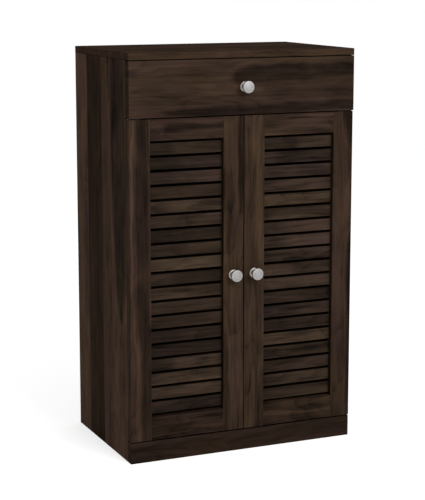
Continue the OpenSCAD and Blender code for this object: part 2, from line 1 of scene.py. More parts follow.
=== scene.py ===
import json
import math
import bmesh
import bpy
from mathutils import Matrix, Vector


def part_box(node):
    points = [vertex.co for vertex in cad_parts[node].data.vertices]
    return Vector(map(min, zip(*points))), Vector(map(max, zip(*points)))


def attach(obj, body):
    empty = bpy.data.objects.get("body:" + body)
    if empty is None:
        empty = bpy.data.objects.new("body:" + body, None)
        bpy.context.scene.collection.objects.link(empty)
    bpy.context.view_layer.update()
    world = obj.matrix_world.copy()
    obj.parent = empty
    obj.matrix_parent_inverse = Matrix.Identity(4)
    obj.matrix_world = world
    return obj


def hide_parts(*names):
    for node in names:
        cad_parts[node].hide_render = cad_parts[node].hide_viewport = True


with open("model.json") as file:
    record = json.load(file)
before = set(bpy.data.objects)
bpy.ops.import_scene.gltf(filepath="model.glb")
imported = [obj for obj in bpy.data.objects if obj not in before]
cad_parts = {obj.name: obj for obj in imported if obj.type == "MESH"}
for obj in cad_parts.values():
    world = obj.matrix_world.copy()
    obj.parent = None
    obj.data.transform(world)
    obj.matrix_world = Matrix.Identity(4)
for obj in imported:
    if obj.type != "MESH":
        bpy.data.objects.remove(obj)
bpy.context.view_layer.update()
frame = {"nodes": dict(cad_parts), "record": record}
nodes = frame["nodes"]
scene = bpy.context.scene
mm = 0.001
print("cabinet frame loaded:", len(nodes), "nodes")


# Helpers for node trees. In the functions below, k is the dictionary of what they make

# Values map a node's sockets to numbers, or to the outputs that they get
def feed(tree, node, values):
    for socket, value in values.items():
        if isinstance(value, bpy.types.NodeSocket):
            tree.links.new(value, node.inputs[socket])
        else:
            node.inputs[socket].default_value = value


def addNode(tree, kind, values, **settings):
    node = tree.nodes.new(kind)
    for name, setting in settings.items():
        setattr(node, name, setting)
    feed(tree, node, values)
    return node


def calc(tree, operation, first, second=0.0, clamp=False):
    node = addNode(tree, "ShaderNodeMath", {0: first, 1: second}, operation=operation, use_clamp=clamp)
    return node.outputs[0]


def plus(tree, first, second, clamp=False):
    return calc(tree, "ADD", first, second, clamp)


def minus(tree, first, second, clamp=False):
    return calc(tree, "SUBTRACT", first, second, clamp)


def times(tree, first, second):
    return calc(tree, "MULTIPLY", first, second)


def calcVector(tree, operation, first, second):
    return addNode(tree, "ShaderNodeVectorMath", {0: first, 1: second}, operation=operation).outputs[0]


def splitVector(tree, vector):
    return addNode(tree, "ShaderNodeSeparateXYZ", {0: vector}).outputs


def joinVector(tree, x, y, z):
    return addNode(tree, "ShaderNodeCombineXYZ", {0: x, 1: y, 2: z}).outputs[0]


def remap(tree, value, low, high, newLow=0.0, newHigh=1.0):
    values = {0: value, 1: low, 2: high, 3: newLow, 4: newHigh}
    return addNode(tree, "ShaderNodeMapRange", values, clamp=True).outputs[0]


def mixColour(tree, factor, first, second, blend="MIX"):
    node = addNode(tree, "ShaderNodeMix", {0: factor, 6: first, 7: second}, data_type="RGBA",
                   blend_type=blend, clamp_factor=True)
    return node.outputs[2]


def shadeColour(tree, colour, shade):
    return mixColour(tree, 1.0, colour, joinVector(tree, shade, shade, shade), "MULTIPLY")


# A stretch says how often the noise changes in a metre of each axis. A fade is where a mask begins and
# where it is full, and may go on with the values at both
def noise(tree, vector, stretch, detail=2.0, roughness=0.5, colour=False):
    place = calcVector(tree, "MULTIPLY", vector, stretch)
    values = {"Vector": place, "Scale": 1.0, "Detail": detail, "Roughness": roughness}
    return addNode(tree, "ShaderNodeTexNoise", values).outputs["Color" if colour else "Fac"]


noiseMiddle = 0.5


def centredNoise(tree, vector, stretch, **settings):
    return minus(tree, noise(tree, vector, stretch, **settings), noiseMiddle)


# Inputs and outputs map each socket's name to its kind
def newGroup(name, inputs, outputs, kind="ShaderNodeTree"):
    group = bpy.data.node_groups.new(name, kind)
    for way, sockets in (("INPUT", inputs), ("OUTPUT", outputs)):
        for label, socketKind in sockets.items():
            group.interface.new_socket(label, in_out=way, socket_type="NodeSocket" + socketKind)
    return group, group.nodes.new("NodeGroupInput").outputs, group.nodes.new("NodeGroupOutput")


def useGroup(tree, group, **values):
    return addNode(tree, "ShaderNodeGroup", values, node_tree=group).outputs


def newMaterial(name, colour, roughness, metallic=0.0, specular=0.5):
    material = bpy.data.materials.new(name)
    material.use_nodes = True
    tree = material.node_tree
    shader = tree.nodes["Principled BSDF"]
    feed(tree, shader, {"Base Color": (*colour, 1), "Roughness": roughness, "Metallic": metallic,
                        "Specular IOR Level": specular})
    return material, tree, shader


def addBump(tree, shader, height, distance, strength):
    bump = addNode(tree, "ShaderNodeBump", {"Height": height, "Distance": distance, "Strength": strength})
    feed(tree, shader, {"Normal": bump.outputs[0]})


def objectPoint(tree):
    return addNode(tree, "ShaderNodeTexCoord", {}).outputs["Object"]


def readAttribute(tree, name):
    return addNode(tree, "ShaderNodeAttribute", {}, attribute_name=name).outputs["Fac"]


# How far a face looks along X, Y or Z
def facing(tree, axis):
    return splitVector(tree, addNode(tree, "ShaderNodeTexCoord", {}).outputs["Normal"])[axis]


# Wood. Each board has its own coordinates: X runs with the grain, Y across the board, Z through it

seedSpread = (3.1, 1.7, 0.9)        # metres from one seed's wood to the next


def seededPoint(tree, given):
    seeds = joinVector(tree, given["Seed"], given["Seed"], given["Seed"])
    return calcVector(tree, "ADD", given["Vector"], calcVector(tree, "MULTIPLY", seedSpread, seeds))


swayShape = {
    "slow": dict(stretch=(2.4, 8, 8), reach=(0, 60 * mm, 24 * mm)),
    "quick": dict(stretch=(12, 34, 34), reach=(0, 14 * mm, 6 * mm)),
}


# Waves that the grain lines follow
def makeSwayGroup():
    tree, given, out = newGroup("grainSway", {"Vector": "Vector", "Seed": "Float", "Amount": "Float"},
                                {"Vector": "Vector"})
    point = seededPoint(tree, given)
    waves = []
    for wave in swayShape.values():
        pattern = noise(tree, point, wave["stretch"], colour=True)
        swing = calcVector(tree, "SUBTRACT", pattern, (noiseMiddle, noiseMiddle, noiseMiddle))
        waves.append(calcVector(tree, "MULTIPLY", swing, wave["reach"]))
    amount = joinVector(tree, 0.0, given["Amount"], given["Amount"])
    moved = calcVector(tree, "MULTIPLY", calcVector(tree, "ADD", *waves), amount)
    feed(tree, out, {"Vector": calcVector(tree, "ADD", given["Vector"], moved)})
    return tree


tongueShape = {
    "softEdge": 2 * mm,
    "softShare": 0.16,      # of the half width, added to the soft edge
    "tearStretch": (6, 150, 150),
    "fray": 2.5,            # soft edges that the tears reach
    "fade": (-1.0, 1.2),    # in soft edges inwards from the outline
    "rimPlace": -1.6,       # likewise, so the light line lies outside the outline
    "tipFade": 25 * mm,
}


# Dark heartwood that ends in a rounded tip, as the flames and hooks of flat-sawn boards do, its edge
# torn into streaks, and beside it a line of light sapwood
def makeTongueGroup():
    k = tongueShape
    tree, given, out = newGroup("heartTongue", {
        "Vector": "Vector", "Seed": "Float", "Tip": "Vector", "Way": "Float", "HalfWidth": "Float",
        "Opening": "Float", "Lean": "Float", "Taper": "Float",
    }, {"Mask": "Float", "Rim": "Float"})
    fromTip = splitVector(tree, calcVector(tree, "SUBTRACT", given["Vector"], given["Tip"]))
    inside = times(tree, fromTip["X"], given["Way"])
    opened = calc(tree, "SQRT", calc(tree, "DIVIDE", inside, given["Opening"], clamp=True))
    narrowing = minus(tree, 1.0, times(tree, given["Taper"], inside), clamp=True)
    half = times(tree, times(tree, given["HalfWidth"], opened), narrowing)
    axis = times(tree, given["Lean"], inside)
    depth = minus(tree, half, calc(tree, "ABSOLUTE", minus(tree, fromTip["Y"], axis)))
    share = times(tree, given["HalfWidth"], k["softShare"])
    soft = plus(tree, k["softEdge"], share)
    tears = centredNoise(tree, seededPoint(tree, given), k["tearStretch"], detail=3, roughness=0.6)
    torn = times(tree, tears, times(tree, soft, k["fray"]))
    within = calc(tree, "DIVIDE", plus(tree, depth, torn), soft)
    begun = remap(tree, inside, 0.0, k["tipFade"])
    mask = remap(tree, within, *k["fade"])
    fromLine = calc(tree, "ABSOLUTE", minus(tree, within, k["rimPlace"]))
    rim = minus(tree, 1.0, fromLine, clamp=True)
    feed(tree, out, {"Mask": times(tree, mask, begun), "Rim": times(tree, rim, begun)})
    return tree


ringShape = {
    "perMetre": 125.0,
    "askew": 0.05,              # how fast the pith sinks along the board
    "wanderStretch": (3, 4, 4),
    "wander": 70 * mm,
    "unevenStretch": (1.5, 30, 30),
    "uneven": 2.5,              # in rings
    "lateness": 2.5,            # how late in the year the wood turns dark
    "lateFade": (0.94, 1.0, 1.0, 0.0),
    "middleShade": 0.25,
    "patchStretch": (3, 26, 26),
    "patchFade": (0.35, 0.6, 0.25, 1.0),
}


# Yearly rings around a pith that runs a little askew under the board: arches where it is near, and lines
# beside it
def makeRingGroup():
    k = ringShape
    tree, given, out = newGroup("yearlyRings", {"Vector": "Vector", "Pith": "Vector", "Seed": "Float"},
                                {"Shade": "Float"})
    along, across, deep = splitVector(tree, calcVector(tree, "SUBTRACT", given["Vector"], given["Pith"]))
    point = seededPoint(tree, given)
    wander = centredNoise(tree, point, k["wanderStretch"])
    sunk = plus(tree, times(tree, along, k["askew"]), deep)
    rise = plus(tree, sunk, times(tree, wander, k["wander"]))
    squares = [times(tree, side, side) for side in (across, rise)]
    distance = calc(tree, "POWER", plus(tree, *squares), 0.5)
    spacing = noise(tree, point, k["unevenStretch"], detail=1)
    counted = plus(tree, times(tree, distance, k["perMetre"]), times(tree, spacing, k["uneven"]))
    year = calc(tree, "FRACT", counted)
    late = times(tree, calc(tree, "POWER", year, k["lateness"]), remap(tree, year, *k["lateFade"]))
    patches = noise(tree, point, k["patchStretch"], detail=1)
    strong = remap(tree, patches, *k["patchFade"])
    shade = minus(tree, k["middleShade"], late)
    feed(tree, out, {"Shade": times(tree, shade, strong)})
    return tree


stainShape = {
    "layers": [             # stretch and amount, from patches and bands to narrow streaks
        ((9, 22, 22), 0.9),
        ((2.4, 32, 32), 1.0),
        ((5, 90, 90), 0.9),
        ((8, 240, 240), 0.9),
        ((14, 600, 600), 0.7),
    ],
    "ringAmount": 0.34,
    "fibreStretch": (40, 1300, 1300),
    "fibreAmount": 0.4,
    "fibreHeight": 0.5,
    "fibreRoughness": 0.14,
    "poreStretch": (110, 2600, 2600),
    "poreFade": (0.6, 0.7),
    "poreAmount": 0.3,
    "poreColour": (0.006, 0.004, 0.003, 1),
    "heartAmount": 1.5,     # how much the layers vary the heartwood
    "heartFade": (-0.15, 0.15, 1.0, 0.75),      # weaker where the first layer is light
    "hueLayers": [((3, 18, 18), 1.8), ((9, 60, 60), 1.0)],
    "olive": (1.0, 1.02, 0.87, 1),
    "plum": (1.0, 0.97, 1.12, 1),
    "endGrainDarker": 0.12,
    "roughness": 0.5,
    "coatRoughness": 0.35,
    "bump": 0.6,
}


# The stained surface: patches, bands, rings, streaks, fibres and open pores, darker in the heartwood
def makeWoodGroup():
    tree, given, out = newGroup("stainedWood", {
        "Vector": "Vector", "Seed": "Float", "Pith": "Vector", "Tone": "Float", "Hue": "Float",
        "Heart": "Float", "Rim": "Float", "EndGrain": "Float", "Contrast": "Float",
        "Light": "Color", "Dark": "Color", "HeartColor": "Color",
    }, {"Color": "Color", "Roughness": "Float", "Height": "Float"})
    k = stainShape
    point = seededPoint(tree, given)
    fibres = noise(tree, point, k["fibreStretch"], roughness=0.6)
    pores = remap(tree, noise(tree, point, k["poreStretch"], detail=1), *k["poreFade"])
    rings = useGroup(tree, yearlyRings, Vector=given["Vector"], Pith=given["Pith"], Seed=given["Seed"])
    layers = [times(tree, centredNoise(tree, point, stretch), amount) for stretch, amount in k["layers"]]
    varied = times(tree, rings["Shade"], k["ringAmount"])
    fibreLayer = times(tree, minus(tree, fibres, noiseMiddle), k["fibreAmount"])
    for layer in (fibreLayer, *layers):
        varied = plus(tree, varied, layer)
    varied = times(tree, varied, given["Contrast"])
    shade = plus(tree, plus(tree, varied, noiseMiddle), given["Rim"], clamp=True)
    plain = mixColour(tree, shade, given["Dark"], given["Light"])
    heartShade = plus(tree, 1.0, times(tree, varied, k["heartAmount"]))
    heart = shadeColour(tree, given["HeartColor"], heartShade)
    strength = remap(tree, layers[0], *k["heartFade"])
    stained = mixColour(tree, times(tree, given["Heart"], strength), plain, heart)
    drifts = [times(tree, noise(tree, point, stretch), amount) for stretch, amount in k["hueLayers"]]
    middleDrift = noiseMiddle * sum(amount for stretch, amount in k["hueLayers"])
    drift = minus(tree, plus(tree, *drifts), middleDrift)
    hue = plus(tree, given["Hue"], drift, clamp=True)
    tinted = mixColour(tree, 1.0, stained, mixColour(tree, hue, k["olive"], k["plum"]), "MULTIPLY")
    endGrain = times(tree, given["EndGrain"], k["endGrainDarker"])
    tone = times(tree, given["Tone"], minus(tree, 1.0, endGrain))
    toned = shadeColour(tree, tinted, tone)
    poreMask = times(tree, pores, k["poreAmount"])
    fibreRough = times(tree, fibres, k["fibreRoughness"])
    raised = times(tree, fibres, k["fibreHeight"])
    feed(tree, out, {
        "Color": mixColour(tree, poreMask, toned, k["poreColour"]),
        "Roughness": plus(tree, k["roughness"], fibreRough),
        "Height": minus(tree, raised, pores),
    })
    return tree


grainSway, heartTongue, yearlyRings = makeSwayGroup(), makeTongueGroup(), makeRingGroup()
stainedWood = makeWoodGroup()
print("wood groups made")

# What a finish is made of; a board's own entry may change any of it
darkFinish = {
    "light": (0.074, 0.0439, 0.0296),
    "dark": (0.0124, 0.0079, 0.0057),
    "heart": (0.0138, 0.0089, 0.0065),
    "tone": 1.0,
    "hue": 0.5,             # 0 is olive, 1 is plum
    "contrast": 1.0,
    "rimLight": 0.15,       # how much lighter the sapwood line beside the heartwood is
    "sway": 1.0,
    "sheen": 0.025,
    "pithDepth": 30 * mm,
    "pore": 0.1 * mm,
    # painted shade on faces in gaps and recesses and on ends turned from the light, by side
    "paintedShadeEdges": {},        # side: tone of the faces there, and how far it comes round the arris
}
slatFinish = {
    **darkFinish,
    "light": (0.071, 0.0448, 0.0325),
    "dark": (0.0120, 0.0081, 0.0066),
    "heart": (0.0132, 0.0092, 0.0077),
}
paleFinish = {
    **darkFinish,
    "light": (0.42, 0.29, 0.17),
    "dark": (0.24, 0.15, 0.085),
    "heart": (0.2, 0.12, 0.07),
    "hue": 0.4,
    "contrast": 0.6,
    "rimLight": 0.0,
    "sway": 0.6,
    "sheen": 0.04,
    "pithDepth": 50 * mm,
}
plyFinish = {
    **paleFinish,
    "light": (0.44, 0.31, 0.19),
    "dark": (0.27, 0.175, 0.10),
    "heart": (0.22, 0.14, 0.08),
    "hue": 0.5,
    "contrast": 0.8,
    "sway": 2.0,
    "sheen": 0.02,
    "pithDepth": 80 * mm,
}


# Turns object coordinates so that X runs with the grain; axes is such as "zxy"
def boardPoint(tree, axes):
    parts = splitVector(tree, objectPoint(tree))
    return joinVector(tree, *[parts["xyz".index(axis)] for axis in axes])


faceShape = {
    "endGrainFade": (0.6, 0.9),     # how squarely a face looks along the grain
    "paintedShadeFade": (0.2, 0.65),
    # painted shade reaches round an arris over the given width
    "arrisFull": 0.6,               # share of a dark arris that is fully dark
}


# 1 on faces that cut the grain across
def endGrainMask(tree, axes):
    along = facing(tree, "xyz".index(axes[0]))
    return remap(tree, calc(tree, "ABSOLUTE", along), *faceShape["endGrainFade"])


# Painted shade: falls from 1 to the given tone on faces across an axis, such as the faces in gaps and
# recesses, and along their arrises over the given width; "-z" means only the face that looks down
def paintedFaceShade(tree, box, side, paintedShadeTone, width=0.0):
    axis = "xyz".index(side[-1])
    lowOnly = side[0] == "-"
    looks = facing(tree, axis)
    looks = times(tree, looks, -1.0) if lowOnly else calc(tree, "ABSOLUTE", looks)
    mask = remap(tree, looks, *faceShape["paintedShadeFade"])
    if width:
        place = splitVector(tree, objectPoint(tree))[axis]
        arrises = [(box[0][axis], width)]
        if not lowOnly:
            arrises.append((box[1][axis], -width))
        for arris, reach in arrises:
            near = remap(tree, place, arris + reach, arris + faceShape["arrisFull"] * reach)
            mask = calc(tree, "MAXIMUM", mask, near)
    return remap(tree, mask, 0.0, 1.0, 1.0, paintedShadeTone)


# Adds up steps: value n holds between joint n-1 and joint n
def stepped(tree, place, joints, values):
    total = values[0]
    for joint, before, after in zip(joints, values, values[1:]):
        step = calc(tree, "GREATER_THAN", place, joint)
        total = plus(tree, total, times(tree, step, after - before))
    return total


# Tongues are (tip along, tip across, way, half width, opening, lean, taper, strength), with lengths in
# millimetres and the tip from the board's middle
def tongueMasks(tree, point, seed, tongues, centre):
    heart, rim = 0.0, 0.0
    for along, across, way, half, opening, lean, taper, strength in tongues:
        tip = (centre[0] + along * mm, centre[1] + across * mm, 0.0)
        tongue = useGroup(tree, heartTongue, Vector=point, Seed=seed, Tip=tip, Way=way, HalfWidth=half * mm,
                          Opening=opening * mm, Lean=lean, Taper=taper)
        heart = calc(tree, "MAXIMUM", heart, times(tree, tongue["Mask"], strength))
        rim = calc(tree, "MAXIMUM", rim, tongue["Rim"])
    return heart, times(tree, rim, minus(tree, 1.0, heart))


def finishWood(tree, shader, look, axes, **values):
    light, dark, heart = [(*look[part], 1) for part in ("light", "dark", "heart")]
    wood = useGroup(tree, stainedWood, EndGrain=endGrainMask(tree, axes), Contrast=look["contrast"],
                    Light=light, Dark=dark, HeartColor=heart, **values)
    feed(tree, shader, {"Base Color": wood["Color"], "Roughness": wood["Roughness"],
                        "Coat Weight": look["sheen"], "Coat Roughness": stainShape["coatRoughness"]})
    addBump(tree, shader, wood["Height"], look["pore"], stainShape["bump"])


boardCut = {
    "pithAlong": 200 * mm,      # how far from its board's middle a pith may lie
    "pithAcross": 12 * mm,
    "pithTurns": (7, 5),        # how its place follows from the seed
    "firstBoard": 100 * mm,     # taken as the widths of the outer ones of glued boards
    "lastBoard": 80 * mm,
    "seedStep": 1.3,            # from one glued board to the next
}


# For a panel glued from several, boards gives the joints between them across the grain, and the tone and
# hue of each
def woodMaterial(name, finish, axes, seed, centre=(0.0, 0.0), tongues=(), boards=None, **changes):
    k, look = boardCut, {**finish, **changes}
    material, tree, shader = newMaterial(name, look["light"], stainShape["roughness"], specular=0.0)
    point = boardPoint(tree, axes)
    tone, hue, cutSeed = look["tone"], look["hue"], seed
    turnAlong, turnAcross = k["pithTurns"]
    pith = (centre[0] + k["pithAlong"] * math.sin(turnAlong * seed),
            centre[1] + k["pithAcross"] * math.sin(turnAcross * seed), -look["pithDepth"])
    if boards:
        joints = boards["joints"]
        place = splitVector(tree, point)[1]
        lows = (joints[0] - k["firstBoard"], *joints)
        highs = (*joints, joints[-1] + k["lastBoard"])
        middles = [(low + high) / 2 for low, high in zip(lows, highs)]
        seeds = [seed + k["seedStep"] * n for n in range(len(middles))]
        pith = joinVector(tree, pith[0], stepped(tree, place, joints, middles), pith[2])
        tone = stepped(tree, place, joints, boards["tones"])
        hue = stepped(tree, place, joints, boards["hues"])
        cutSeed = stepped(tree, place, joints, seeds)
    swayed = useGroup(tree, grainSway, Vector=point, Seed=cutSeed, Amount=look["sway"])["Vector"]
    heart, rim = tongueMasks(tree, swayed, seed, tongues, centre)
    rim = times(tree, rim, look["rimLight"])
    if boards:      # the tongues lie in the first board
        inFirst = calc(tree, "LESS_THAN", place, joints[0])
        heart = times(tree, heart, inFirst)
        rim = times(tree, rim, inFirst)
    # painted shade on faces in gaps and recesses and on ends turned from the light
    for side, shade in look["paintedShadeEdges"].items():
        tone = times(tree, tone, paintedFaceShade(tree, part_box(name), side, *shade))
    finishWood(tree, shader, look, axes, Vector=swayed, Seed=cutSeed, Pith=pith, Tone=tone, Hue=hue,
               Heart=heart, Rim=rim)
    return material


def dress(nodeName, material):
    mesh = nodes[nodeName].data
    mesh.materials.clear()
    mesh.materials.append(material)


# Boards with a figure of their own: the way of their grain, and how each differs from the common finish
# The paintedShadeEdges below are painted shade: dark gap lines under the top, around the drawer front and
# over the plinth and rails, shade on the stiles' faces beside the slats, and darker left ends
figuredBoards = {
    "top_board": dict(
        axes="xyz", seed=1.0, contrast=0.8, sheen=0.01, paintedShadeEdges={"-z": (0.15, 1.4 * mm)},
        tongues=[(60, -110, 1, 22, 90, 0.0, 0.8, 0.8)],
        boards=dict(joints=(-80 * mm, 5 * mm, 105 * mm), tones=(0.9, 0.8, 0.98, 0.82),
                    hues=(0.3, 0.35, 0.4, 0.5))),
    "left_side_panel": dict(
        axes="zyx", seed=20.0, contrast=0.7, sway=0.35, sheen=0.012,
        tongues=[(-165, -146, 1, 52, 300, 0.034, 0.0, 1.0)],
        boards=dict(joints=(-50 * mm, 13 * mm, 118 * mm), tones=(1.44, 1.1, 0.54, 1.48),
                    hues=(0.5, 0.4, 0.3, 0.45))),
    "right_side_panel": dict(
        axes="zyx", seed=21.0, contrast=0.7, sway=0.35, sheen=0.012,
        tongues=[(120, -140, -1, 40, 240, -0.02, 0.3, 0.8)],
        boards=dict(joints=(-62 * mm, 41 * mm, 118 * mm), tones=(1.0, 0.7, 1.05, 0.85),
                    hues=(0.4, 0.7, 0.3, 0.6))),
    "plinth_board": dict(
        axes="xzy", seed=2.2, tone=0.6, hue=0.55, contrast=0.7, paintedShadeEdges={"z": (0.3, 1.2 * mm)},
        tongues=[(-60, -4, 1, 20, 80, 0.01, 0.5, 0.3)]),
    "drawer_front": dict(
        axes="xzy", seed=3.1, tone=1.0, hue=0.4, contrast=0.62, sway=0.6,
        paintedShadeEdges={"z": (0.3, 1.4 * mm), "-x": (0.55,)},
        tongues=[(-48, 25, 1, 24, 60, 0.035, 0.8, 1.0), (-225, -59, 1, 13, 160, 0.01, 0.0, 1.0),
                 (30, 5, 1, 75, 300, 0.0, 0.0, 0.5), (200, -15, 1, 8, 40, 0.0, 0.0, 0.7),
                 (-272, 42, -1, 8, 14, 0.0, 0.0, 0.6)]),
    "left_hinge_stile": dict(
        axes="zxy", seed=4.7, tone=1.03, hue=0.5, contrast=0.75, rimLight=0.27, sway=0.7,
        paintedShadeEdges={"-x": (0.7,)},
        tongues=[(-190, 9, 1, 21, 160, -0.008, 0.4, 0.85), (-90, 25, -1, 20, 60, 0.0, 0.0, 0.8)]),
    "left_meeting_stile": dict(
        axes="zxy", seed=5.9, tone=0.97, hue=0.35, contrast=0.9, sway=0.5, paintedShadeEdges={"-x": (0.35,)},
        tongues=[(130, 24, 1, 9, 80, 0.0, 0.0, 0.85), (-120, -22, -1, 8, 80, 0.01, 0.6, 0.8)]),
    "left_top_rail": dict(
        axes="xzy", seed=6.3, tone=0.7, hue=0.55, contrast=0.9, sway=0.5,
        tongues=[(-78, 2, 1, 12, 40, 0.05, 3.5, 1.0), (60, 12, 1, 7, 30, 0.0, 0.0, 0.7)]),
    "left_bottom_rail": dict(
        axes="xzy", seed=7.8, tone=0.62, hue=0.5, sway=0.6, paintedShadeEdges={"-z": (0.3, 0.8 * mm)},
        tongues=[(30, -4, -1, 12, 50, -0.03, 2.0, 0.7)]),
    "right_hinge_stile": dict(
        axes="zxy", seed=8.4, tone=0.84, hue=0.42, contrast=0.8, sway=0.5, paintedShadeEdges={"-x": (0.4,)},
        tongues=[(290, 27, 1, 20, 90, 0.0, 0.0, 1.0), (105, 27, -1, 12, 120, 0.0, 0.0, 0.9)]),
    "right_meeting_stile": dict(
        axes="zxy", seed=9.6, tone=0.98, hue=0.3, contrast=0.9, sway=0.5,
        tongues=[(-210, 20, -1, 9, 90, -0.02, 0.0, 0.35)]),
    "right_top_rail": dict(
        axes="xzy", seed=10.1, tone=0.88, hue=0.35, sway=0.6,
        tongues=[(-50, 16, 1, 5, 30, -0.03, 4.0, 0.8)]),
    "right_bottom_rail": dict(
        axes="xzy", seed=11.5, tone=0.86, hue=0.35, sway=0.6, paintedShadeEdges={"-z": (0.3, 0.8 * mm)},
        tongues=[(-20, 8, 1, 9, 60, -0.02, 1.0, 0.7)]),
}
# Boards inside the carcass: seed, and the tip of the tongue in millimetres from the middle
# The inner boards' faces across Y are darkened as painted shade, so the slots show dark
innerLook = dict(axes="xyz", tone=0.6, paintedShadeEdges={"y": (0.5,)})
innerTongue = (1, 40, 160, 0.02, 0.4, 0.8)
innerBoards = {
    "bottom_panel": (30.0, (-120, 60)),
    "drawer_divider": (31.7, (-80, 30)),
    "lower_shelf": (33.4, (-40, 0)),
    "middle_shelf": (35.1, (0, -30)),
    "upper_shelf": (36.8, (40, -60)),
    "front_stretcher": (38.5, (80, -90)),
}
# Boards without a figure: finish, way of the grain, seed, and what differs
plainBoards = {
    "back_rail": (darkFinish, "xzy", 41.0, dict(tone=0.45)),
    "back_panel": (darkFinish, "zxy", 70.0, dict(tone=0.45, contrast=0.6)),
    "drawer_bottom": (plyFinish, "xyz", 74.0, {}),
    "plinth_blocks": (paleFinish, "xyz", 50.0, {}),
    "carcass_dowels": (paleFinish, "xyz", 52.3, {}),
    "drawer_inner_front": (paleFinish, "xzy", 54.6, {}),
    "drawer_back": (paleFinish, "xzy", 56.9, {}),
    "drawer_stop_block": (paleFinish, "xzy", 59.2, {}),
    "left_drawer_runner": (paleFinish, "yzx", 61.5, {}),
    "right_drawer_runner": (paleFinish, "yzx", 63.8, {}),
    "drawer_left_side": (paleFinish, "yzx", 66.1, {}),
    "drawer_right_side": (paleFinish, "yzx", 68.4, {}),
}


# The board's middle along and across its grain
def boardMiddle(name, axes):
    low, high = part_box(name)
    return tuple(((low + high) / 2)["xyz".index(axis)] for axis in axes[:2])


def dressBoards():
    looks = dict(figuredBoards)
    for name, (seed, tip) in innerBoards.items():
        looks[name] = dict(innerLook, seed=seed, tongues=[(*tip, *innerTongue)])
    for name, look in looks.items():
        dress(name, woodMaterial(name, darkFinish, centre=boardMiddle(name, look["axes"]), **look))
    for name, (finish, axes, seed, changes) in plainBoards.items():
        dress(name, woodMaterial(name, finish, axes, seed, **changes))


dressBoards()
print("boards dressed")


wearShape = {
    "patchStretch": (60, 60, 60),
    "patchRoughness": 0.16,
    "shadeFade": (0.3, 0.7, 0.88, 1.0),
    "scratchStretch": (300, 2500, 900),
    "bump": 0.4,
}


# Fine scratches and dull patches on metal
def makeWearGroup():
    k = wearShape
    tree, given, out = newGroup("metalWear", {"Vector": "Vector", "Polish": "Float"},
                                {"Roughness": "Float", "Height": "Float", "Shade": "Float"})
    patches = noise(tree, given["Vector"], k["patchStretch"], detail=3)
    scratches = noise(tree, given["Vector"], k["scratchStretch"], roughness=0.6)
    dulled = times(tree, patches, k["patchRoughness"])
    feed(tree, out, {"Roughness": plus(tree, given["Polish"], dulled), "Height": scratches,
                     "Shade": remap(tree, patches, *k["shadeFade"])})
    return tree


metalWear = makeWearGroup()


def wornMaterial(name, colour, polish, metallic, depth, specular=0.5):
    material, tree, shader = newMaterial(name, colour, polish, metallic, specular)
    wear = useGroup(tree, metalWear, Vector=objectPoint(tree), Polish=polish)
    feed(tree, shader, {"Base Color": shadeColour(tree, (*colour, 1), wear["Shade"]),
                        "Roughness": wear["Roughness"]})
    addBump(tree, shader, wear["Height"], depth, wearShape["bump"])
    return material


fittingFinishes = {
    "zincSteel": dict(colour=(0.50, 0.50, 0.49), polish=0.3, metallic=1.0, depth=0.02 * mm),
    "magnetMetal": dict(colour=(0.16, 0.155, 0.15), polish=0.35, metallic=1.0, depth=0.02 * mm),
    "darkSteel": dict(colour=(0.035, 0.031, 0.028), polish=0.42, metallic=0.6, depth=0.02 * mm,
                      specular=0.3),
    "catchPlastic": dict(colour=(0.022, 0.018, 0.016), polish=0.45, metallic=0.0, depth=0.03 * mm),
    "clearRubber": dict(colour=(0.62, 0.62, 0.60), polish=0.35, metallic=0.0, depth=0.02 * mm,
                        specular=0.6),
}
fittings = {
    "zincSteel": ["shelf_pins", "left_strike_plates", "right_strike_plates"],
    "magnetMetal": ["catch_magnets"],
    "darkSteel": ["left_lower_pivot", "left_upper_pivot", "right_lower_pivot", "right_upper_pivot",
                  "left_pivot_sockets", "right_pivot_sockets"],
    "catchPlastic": ["upper_catch", "lower_catch"],
    "clearRubber": ["drawer_bumpers"],
}
fittingMaterials = {name: wornMaterial(name, **look) for name, look in fittingFinishes.items()}
for materialName, fittingNames in fittings.items():
    for fitting in fittingNames:
        dress(fitting, fittingMaterials[materialName])
print("fittings dressed")


# Helpers for objects and meshes

tolerance = 1e-6


def addObject(name, data):
    holder = bpy.data.objects.new(name, data)
    scene.collection.objects.link(holder)
    return holder


def closedMesh(shape, name):
    bmesh.ops.recalc_face_normals(shape, faces=shape.faces)
    mesh = bpy.data.meshes.new(name)
    shape.to_mesh(mesh)
    shape.free()
    return mesh


def smoothMesh(mesh, sharpFrom):
    mesh.shade_smooth()
    mesh.set_sharp_from_angle(angle=math.radians(sharpFrom))


# Runs a geometry tree on a start mesh and gives the result as a plain mesh object
def growPiece(name, tree, startMesh, values):
    holder = addObject(name + "Start", startMesh)
    modifier = holder.modifiers.new("grow", "NODES")
    modifier.node_group = tree
    for item in tree.interface.items_tree:
        if item.item_type == "SOCKET" and item.in_out == "INPUT" and item.name in values:
            modifier[item.identifier] = values[item.name]
    bpy.context.view_layer.update()
    evaluated = holder.evaluated_get(bpy.context.evaluated_depsgraph_get())
    mesh = bpy.data.meshes.new_from_object(evaluated)
    mesh.name = name
    bpy.data.objects.remove(holder)
    return addObject(name, mesh)


# Ends a geometry tree: the instances become real, in the given material
def realizeIn(tree, instances, material, out):
    real = addNode(tree, "GeometryNodeRealizeInstances", {0: instances})
    coloured = addNode(tree, "GeometryNodeSetMaterial", {"Geometry": real.outputs[0], "Material": material})
    feed(tree, out, {"Geometry": coloured.outputs[0]})


slatShape = {
    "count": 19,
    "gap": 6 * mm,
    "easedEdge": 1.0 * mm,
    "easedSteps": 3,
    # painted shade in the slots between the slats
    "paintedShadeTone": 0.35,           # of the faces above and below
    "sway": 0.6,
    "tongueOpening": 70 * mm,
    "tongueTaper": 1.5,
}
